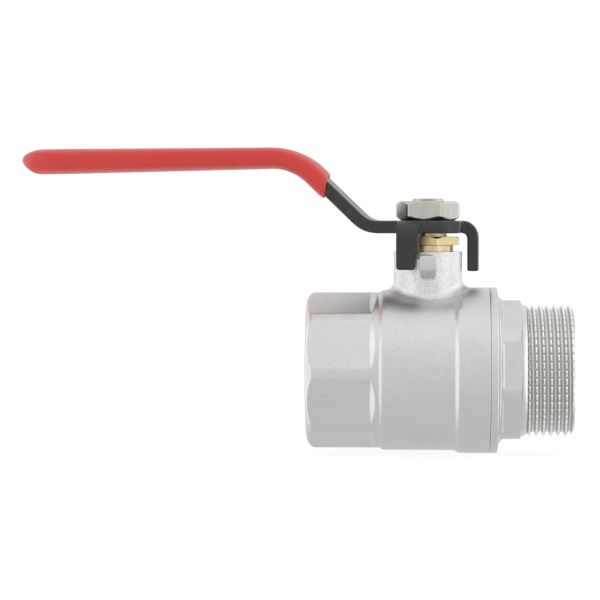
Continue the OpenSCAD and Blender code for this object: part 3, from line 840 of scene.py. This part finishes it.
def outlet_thread(angle):
    """Rows that climb the helix, so that crests and notches follow the mesh; rows past an end fold onto it.

    Radius: the root's plus the height of the thread, cut on the crests by V notches and at the end by a
    cone, and blended into the relief over the first half millimetre.
    """
    rise = np.array([0, 0.045, 0.085, 0.122, 0.2, 0.27, 0.33, 0.38, 0.417, 0.45, 0.5])
    phase = np.concatenate([rise, 1 - rise[-2:0:-1]])
    turns = (np.arange(-2, 8)[:, None] + phase).reshape(-1)[:, None]
    start = OUTLET_THREAD_X - 0.1
    around = angle / (2 * np.pi)
    x = np.clip(FIRST_CREST + (turns - 0.5 + around) * PITCH, start, OUTLET_X)
    height = thread_height((x - FIRST_CREST) / PITCH - around)
    from_middle = np.abs((around * NOTCHES) % 1.0 - 0.5)
    notch = NOTCH_DEPTH * np.clip((from_middle - NOTCH_LAND) / (0.5 - NOTCH_LAND), 0, 1)
    cone = THREAD_R - END_CHAMFER_R + (OUTLET_X - x) * END_CHAMFER_R / END_CHAMFER
    r = np.minimum(np.minimum(SOCKET_R + height, THREAD_R - notch), cone)
    blend = 1 - np.clip((x - start) / 0.5, 0, 1)
    return about_pipe(x, r + (THREAD_START_R - r) * blend, angle)


def outlet_bore(angle):
    """Rings back through the port to the seat's pocket."""
    chamfer = [[OUTLET_X, PORT_R + 0.5], [OUTLET_X - 0.5, PORT_R]]
    seat = [[SEAT_BACK, PORT_R], [SEAT_BACK, POCKET_R], [POCKET_X, POCKET_R]]
    return pipe_rings(chamfer + seat, angle)


def make_outlet():
    """Outlet piece: a loop of rings from the seat's pocket over the outside and back through the port."""
    columns = NOTCHES * 8
    angle = np.linspace(0, 2 * np.pi, columns + 1)
    makers = [outlet_joint, outlet_flange, outlet_octagon, outlet_relief, outlet_thread, outlet_bore]
    parts = [make(angle) for make in makers]
    grid = np.concatenate(parts)
    joint_end, _, octagon_end, relief_end, thread_end, _ = np.cumsum([len(part) for part in parts])
    row = np.arange(len(grid) - 1)
    blasted = (row >= joint_end - 2) & (row < octagon_end - 1)
    threaded = (row >= relief_end) & (row < thread_end)
    finish_of = np.repeat(np.where(blasted, 0, np.where(threaded, 2, 1)), columns)
    quads = quads_between(numbers(grid))
    finishes = [BLASTED, TURNED, CUT_THREAD]
    piece(
        "outlet_piece", grid, quads, finishes, "valve_body", "end_connector", finish_of, 32.0
    )


make_outlet()


# Nuts and stem


def hexagon_angles(turn):
    """Angles round a hexagon, close together at its corners; turn is that of the first corner from +X."""
    half = np.array([0, 0.5, 1.2, 2.2, 4, 7, 11, 16, 22, 30])
    sector = np.concatenate([half, 60 - half[-2:0:-1]])
    return np.radians(np.concatenate([sector + 60 * i for i in range(6)]) + 90 + turn)


def hexagon_radius(angle, turn):
    """Half the spanner size over the cosine of the angle from a flat's middle, with worn corners."""
    off = (angle - math.radians(90 + turn)) % (np.pi / 3) - np.pi / 6
    return soft_min(NUT_AF / 2 / np.cos(off), NUT_AF / math.sqrt(3) - NUT_WORN, NUT_CORNER)


def make_packing_nut():
    """Packing nut: hexagon cut by a cone at its top, over a round shank; a closed loop of rings."""
    angle = hexagon_angles(GLAND_TURN)
    depth = np.array([0, 0.08, 0.18, 0.32, 0.5, 0.7, 0.9, 1.15, 1.5])
    z = np.concatenate([GLAND_TOP - depth, GLAND_Z + np.array([0.6, 0.12, 0])])[:, None]
    cone = NUT_AF / 2 + GLAND_LAND + (GLAND_TOP - z) / math.tan(NUT_CONE)
    burr = NUT_AF / 2 - 0.1 + (z - GLAND_Z) * 12
    chamfered = soft_min(hexagon_radius(angle, GLAND_TURN), cone, TURNED_EDGE)
    head = soft_min(chamfered, burr, CRISP_EDGE)
    face = [[STEM_HOLE_R + 0.35, GLAND_TOP], [NUT_AF / 2 - 0.4, GLAND_TOP]]
    shank = [
        [GLAND_R + 0.1, GLAND_Z],
        [GLAND_R, GLAND_Z - 0.1],
        [GLAND_R, NOSE_Z + 0.3],
        [GLAND_R - 0.3, NOSE_Z],
        [STEM_HOLE_R, NOSE_Z],
        [STEM_HOLE_R, GLAND_TOP - 0.35],
    ]
    grid = np.concatenate([stem_rings(face, angle), about_stem(head, z, angle), stem_rings(shank, angle)])
    piece(
        "packing_nut_brass", grid, hoop(grid), [BRASS], "valve_body", "packing_nut", sharp=28.0
    )


def make_lever_nut():
    """Lever nut: hexagon cut by a cone at each end; a closed loop of rings."""
    angle = hexagon_angles(NUT_TURN)
    depth = np.array([0, 0.08, 0.18, 0.32, 0.5, 0.7, 0.9, 1.1, 1.35, 1.7])
    middle = (NUT_Z + NUT_TOP) / 2
    z = np.concatenate([NUT_TOP - depth, [middle], (NUT_Z + depth)[::-1]])[:, None]
    upper = NUT_AF / 2 - NUT_LAND + (NUT_TOP - z) / math.tan(NUT_CONE)
    lower = NUT_AF / 2 - NUT_FOOT_LAND + (z - NUT_Z) / math.tan(NUT_CONE)
    outside = soft_min(hexagon_radius(angle, NUT_TURN), np.minimum(upper, lower), FORMED_EDGE)
    hole = STEM_R + FIT
    face = [[hole, NUT_TOP - 0.6], [hole + 0.6, NUT_TOP], [NUT_AF / 2 - 0.4, NUT_TOP]]
    under = [[NUT_AF / 2 - NUT_FOOT_LAND - 0.2, NUT_Z], [hole + 0.5, NUT_Z], [hole, NUT_Z + 0.5]]
    rings = [stem_rings(face, angle), about_stem(outside, z, angle), stem_rings(under, angle)]
    grid = handle_place(np.concatenate(rings))
    piece("lever_nut", grid, hoop(grid), [ZINC], "handle", "handle_nut", sharp=28.0)


def make_stem():
    """Stem: rings about its axis, cut by two planes at the tongue and by two flats at the lever."""
    angle = np.linspace(0, 2 * np.pi, 121)[:-1]
    tongue = [
        [0, TONGUE_Z],
        [STEM_COLLAR_R - 0.3, TONGUE_Z],
        [STEM_COLLAR_R, TONGUE_Z + 0.3],
        [STEM_COLLAR_R, STEM_COLLAR_Z],
    ]
    shank = [
        [STEM_COLLAR_R, STEM_COLLAR_Z],
        [STEM_COLLAR_R, STEM_COLLAR_TOP - 0.2],
        [STEM_COLLAR_R - 0.2, STEM_COLLAR_TOP],
        [STEM_R, STEM_COLLAR_TOP],
        [STEM_R, STEM_RING_Z - STEM_RING_HALF],
        [STEM_GROOVE_R, STEM_RING_Z - STEM_RING_HALF],
        [STEM_GROOVE_R, STEM_RING_Z + STEM_RING_HALF],
        [STEM_R, STEM_RING_Z + STEM_RING_HALF],
        [STEM_R, LEVER_Z],
    ]
    end = [
        [STEM_R, LEVER_Z],
        [STEM_R, NUT_TOP - 0.9],
        [STEM_END_R + 0.1, NUT_TOP - 0.1],
        [STEM_END_R, STEM_TOP - 0.6],
        [STEM_END_R - 0.15, STEM_TOP - 0.15],
        [STEM_END_R - 0.35, STEM_TOP],
        [2.0, STEM_TOP],
        [0, STEM_TOP],
    ]
    r, z = np.array(tongue + shank + end).T[..., None]
    level = np.arange(len(r))[:, None]
    planes = TONGUE_T / 2 / np.maximum(1e-6, np.abs(np.sin(angle)))
    flats = STEM_FLATS / 2 / np.maximum(1e-6, np.abs(np.cos(angle)))
    first_flat = len(tongue) + len(shank)
    limit = np.where(level < len(tongue), planes, np.where(level >= first_flat, flats, np.inf))
    grid = handle_place(about_stem(np.minimum(r, limit), z, angle))
    dulled = np.repeat(np.arange(len(r) - 1) > first_flat, len(angle))
    quads = quads_between(numbers(grid), wrap=True)
    finishes = [BRASS, DULL_BRASS]
    piece("valve_stem", grid, quads, finishes, "handle", "stem", dulled, 30.0)


make_packing_nut()
make_lever_nut()
make_stem()


# Lever and grip


def make_lever():
    """Lever: the bent plate's solid in an even fine mesh, smoothed to round the punched edges and bends."""
    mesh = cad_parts["lever"].data.copy()
    mesh.name = "lever_plate"
    work = bmesh.new()
    work.from_mesh(mesh)
    bmesh.ops.remove_doubles(work, verts=work.verts, dist=2e-6)
    bmesh.ops.dissolve_limit(work, angle_limit=math.radians(0.6), verts=work.verts, edges=work.edges)
    bmesh.ops.recalc_face_normals(work, faces=work.faces)
    work.to_mesh(mesh)
    work.free()
    mesh.materials.clear()
    mesh.materials.append(COATING)
    made = bpy.data.objects.new("lever_plate", mesh)
    bpy.context.scene.collection.objects.link(made)
    even = made.modifiers.new("even_mesh", "REMESH")
    even.mode = "VOXEL"
    even.voxel_size = LEVER_MESH * MM
    even.use_smooth_shade = True
    worn = made.modifiers.new("punched_edges", "SMOOTH")
    worn.factor = 0.5
    worn.iterations = 10
    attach(made, "handle")
    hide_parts("lever")


def arm_path():
    """Points of the plate's middle from the grip's mouth to its end, over slope, bend and straight.

    Also gives the angle of the way up at each, and where the bend ends.
    """
    down_slope = np.array([math.cos(SLOPE), -math.sin(SLOPE)])
    corner = np.array([-BEND_X - RISE / math.tan(SLOPE), LEVER_Z + LEVER_T / 2 + RISE])
    start = corner + UPPER_R * math.tan((SLOPE + DROOP) / 2) * down_slope
    centre = start - UPPER_R * np.array([math.sin(SLOPE), math.cos(SLOPE)])
    mouth = start + GRIP_DOWN * down_slope
    slope = mouth + (start - mouth) * np.linspace(0, 1, MOUTH_ROWS)[:-1, None]
    sweep = np.linspace(np.pi / 2 - SLOPE, np.pi / 2 + DROOP, 26)
    bend = centre + UPPER_R * np.stack([np.cos(sweep), np.sin(sweep)], -1)
    length = REACH + GRIP_SIDE + bend[-1, 0]
    ahead = 1 - (1 - np.linspace(0, 1, 60)[1:]) ** 1.9
    straight = bend[-1] + length * ahead[:, None] * np.array([-1.0, -math.tan(DROOP)])
    points = np.concatenate([slope, bend, straight])
    up = np.concatenate([np.full(len(slope), sweep[0]), sweep, np.full(len(straight), sweep[-1])])
    return points, up, bend[-1, 0]


def superellipse(count):
    """Points round a section: cosine and sine, with their signs, to the power of two over the squareness."""
    turn = np.linspace(0, 2 * np.pi, count + 1)[:-1]
    cos, sin = np.cos(turn), np.sin(turn)
    power = 2 / GRIP_SQUARENESS
    return np.sign(cos) * np.abs(cos) ** power, np.sign(sin) * np.abs(sin) ** power


def grip_shape(x, bend_end):
    """Half widths of the plate and of the grip, and the grip's top and bottom over the plate's middle.

    Towards the nose the width follows a circle, and top and bottom close at a point above the middle.
    """
    plate = np.interp(x, [END_X, WAIST_X, -BEND_X], [END_R, WAIST_HALF, ARM_HALF])
    nose_r = END_R + GRIP_SIDE
    nose_w = nose_r * np.sqrt(1 - np.clip((END_X - x) / nose_r, 0, 1) ** 2)
    half_w = np.where(x > END_X, plate + GRIP_SIDE, nose_w)
    grow = np.clip((bend_end - x) / (bend_end - END_X), 0, 1)
    half_h = LEVER_T / 2 + GRIP_WALL + (GRIP_END_WALL - GRIP_WALL) * grow
    close_top = np.clip(1 - (x - x[-1]) / NOSE_TOP_L, 0, 1)
    close_low = np.clip(1 - (x - x[-1]) / NOSE_LOW_L, 0, 1)
    top = NOSE_RISE + (half_h - NOSE_RISE) * (1 - close_top**1.5) ** 0.6
    bottom = NOSE_RISE - (half_h + NOSE_RISE) * (1 - close_low**1.5) ** 0.7
    return plate, half_w, top, bottom


def make_grip():
    """Grip: superellipses along the plate's middle, outside from nose to mouth, then inside to the end.

    The mouth is slanted, turned a little in plan, and its lip is rolled in.
    """
    middle, up, bend_end = arm_path()
    x = middle[:, 0]
    across, upward = superellipse(64)
    near_mouth = np.zeros(len(x))
    near_mouth[:MOUTH_ROWS] = np.linspace(1, 0, MOUTH_ROWS)
    along = near_mouth[:, None] * (MOUTH_SHIFT - MOUTH_SKEW * upward - MOUTH_TURN * across)

    def sections(half_width, top, bottom):
        """Points of sections with these half widths, tops and bottoms, moved along the path at the mouth."""
        v = np.where(upward >= 0, top[:, None] * upward, -bottom[:, None] * upward)
        px = middle[:, :1] + v * np.cos(up)[:, None] + along * np.sin(up)[:, None]
        pz = middle[:, 1:] + v * np.sin(up)[:, None] - along * np.cos(up)[:, None]
        return np.stack([px, half_width[:, None] * across, pz], -1)

    plate, half_w, top, bottom = grip_shape(x, bend_end)
    rolled = np.ones(len(x))
    rolled[:3] = [0.90, 0.97, 0.995]
    outside = sections(half_w * (0.6 + 0.4 * rolled), top * rolled, bottom * rolled)
    outside[-1] = outside[-1].mean(0)
    end_w = END_R * np.sqrt(np.maximum(0, 1 - ((END_X - x) / END_R) ** 2))
    inside_w = np.where(x > END_X, plate, np.minimum(plate, end_w)) + GRIP_FIT
    inside_h = np.full(len(x), LEVER_T / 2 + GRIP_FIT)
    inside = sections(inside_w, inside_h, -inside_h)[x > END_X - 0.97 * END_R]
    pole = np.broadcast_to(inside[-1].mean(0), inside[-1:].shape)
    grid = handle_place(np.concatenate([outside[::-1], inside, pole]))
    quads = quads_between(numbers(grid), wrap=True)
    piece("dipped_grip", grid, quads, [PVC], "handle", "grip", sharp=60.0)


make_lever()
make_grip()


# Pieces that keep the solids' own meshes

INNER_FINISHES = {
    "ball": CHROME,
    "inlet_seat": PTFE,
    "outlet_seat": PTFE,
    "thrust_washer": PTFE,
    "packing_ring_lower": PTFE,
    "packing_ring_upper": PTFE,
    "connector_o_ring": NBR,
    "stem_o_ring": NBR,
}
for name, finish in INNER_FINISHES.items():
    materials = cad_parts[name].data.materials
    materials.clear()
    materials.append(finish)


# Camera

EYE = np.array([-5.0, -913.0, 51.0])
AIM = np.array([-40.8, 0.0, 22.3])
LENS = 171.6

scene = bpy.context.scene
scene.view_settings.view_transform = "Standard"
camera = bpy.data.objects.new("camera", bpy.data.cameras.new("camera"))
scene.collection.objects.link(camera)
camera.location = EYE * MM
camera.rotation_euler = Vector(AIM - EYE).to_track_quat("-Z", "Y").to_euler()
camera.data.lens = LENS
camera.data.sensor_width = 36.0
camera.data.clip_start = 0.05
camera.data.clip_end = 50.0
scene.camera = camera


# Floor and light

FLOOR_Z = -26.6
FLOOR_HALF = 4000.0


def white_paper():
    """White paper of the floor: matt, and nearly white to the camera but for the object's shadow.

    Reflections look through it to the studio, so that metal shows the same light from below.
    """
    made, tree, shader, _ = surface("white_paper", base_color=colour("#F4F4F4"), roughness=0.9)
    path = add(tree, "LightPath")
    glow = add(tree, "Emission", {"Color": (1, 1, 1, 1), "Strength": 1.08})
    clear = add(tree, "BsdfTransparent")
    share = add(tree, "Math", {0: path.outputs["Is Camera Ray"], 1: 0.8}, operation="MULTIPLY")
    seen = add(tree, "MixShader", {0: share.outputs[0], 1: shader.outputs[0], 2: glow.outputs[0]})
    glossy, through = path.outputs["Is Glossy Ray"], path.outputs["Is Transmission Ray"]
    bounced = add(tree, "Math", {0: glossy, 1: through}, operation="MAXIMUM")
    mixed = add(tree, "MixShader", {0: bounced.outputs[0], 1: seen.outputs[0], 2: clear.outputs[0]})
    tree.links.new(mixed.outputs[0], tree.nodes["Material Output"].inputs[0])
    return made


def make_floor():
    """A flat square under the valve."""
    mesh = bpy.data.meshes.new("floor")
    corners = np.array([[-1, -1], [1, -1], [1, 1], [-1, 1]]) * FLOOR_HALF
    mesh.from_pydata([(x * MM, y * MM, FLOOR_Z * MM) for x, y in corners], [], [(0, 1, 2, 3)])
    mesh.materials.append(white_paper())
    floor = bpy.data.objects.new("floor", mesh)
    scene.collection.objects.link(floor)


def make_studio():
    """White studio: even light, less of it from below, and brighter walls beside the front and the back.

    The walls rise and fall with the share of the direction that lies along the pipe. The camera sees white.
    """
    world = bpy.data.worlds.new("studio")
    scene.world = world
    world.use_nodes = True
    tree = world.node_tree
    way = add(tree, "SeparateXYZ", {0: add(tree, "TexCoord").outputs["Generated"]})
    side = add(tree, "Math", {0: way.outputs[0]}, operation="ABSOLUTE").outputs[0]
    smooth = {"interpolation_type": "SMOOTHSTEP"}
    rising = add(tree, "MapRange", {0: side, 1: 0.64, 2: 0.86, 3: 0.0, 4: 0.8}, **smooth).outputs[0]
    falling = add(tree, "MapRange", {0: side, 1: 0.89, 2: 0.975, 3: 1.0, 4: 0.18}, **smooth).outputs[0]
    walls = add(tree, "Math", {0: rising, 1: falling}, operation="MULTIPLY").outputs[0]
    level = add(tree, "MapRange", {0: way.outputs[2], 1: -0.7, 2: 0.7, 3: 0.81, 4: 1.03}).outputs[0]
    light = add(tree, "Math", {0: walls, 1: level}, operation="ADD").outputs[0]
    white = add(tree, "LightPath").outputs["Is Camera Ray"]
    shown = add(tree, "Math", {0: light, 1: white}, operation="MAXIMUM").outputs[0]
    sky = tree.nodes["Background"]
    sky.inputs["Color"].default_value = (1, 1, 1, 1)
    tree.links.new(shown, sky.inputs["Strength"])


def soft_box(name, place, aim, width, height, glow):
    """A rectangular studio lamp that faces a point; glow is the radiance of its face, where 1 is white."""
    lamp = bpy.data.lights.new(name, "AREA")
    lamp.shape = "RECTANGLE"
    lamp.size = width * MM
    lamp.size_y = height * MM
    lamp.energy = glow * math.pi * width * height * MM**2
    made = bpy.data.objects.new(name, lamp)
    scene.collection.objects.link(made)
    made.location = Vector(place) * MM
    made.rotation_euler = (Vector(aim) - Vector(place)).to_track_quat("-Z", "Y").to_euler()


make_floor()
make_studio()
soft_box("top_box", place=(0, -500, 1050), aim=(0, 0, 10), width=1400, height=1000, glow=0.12)
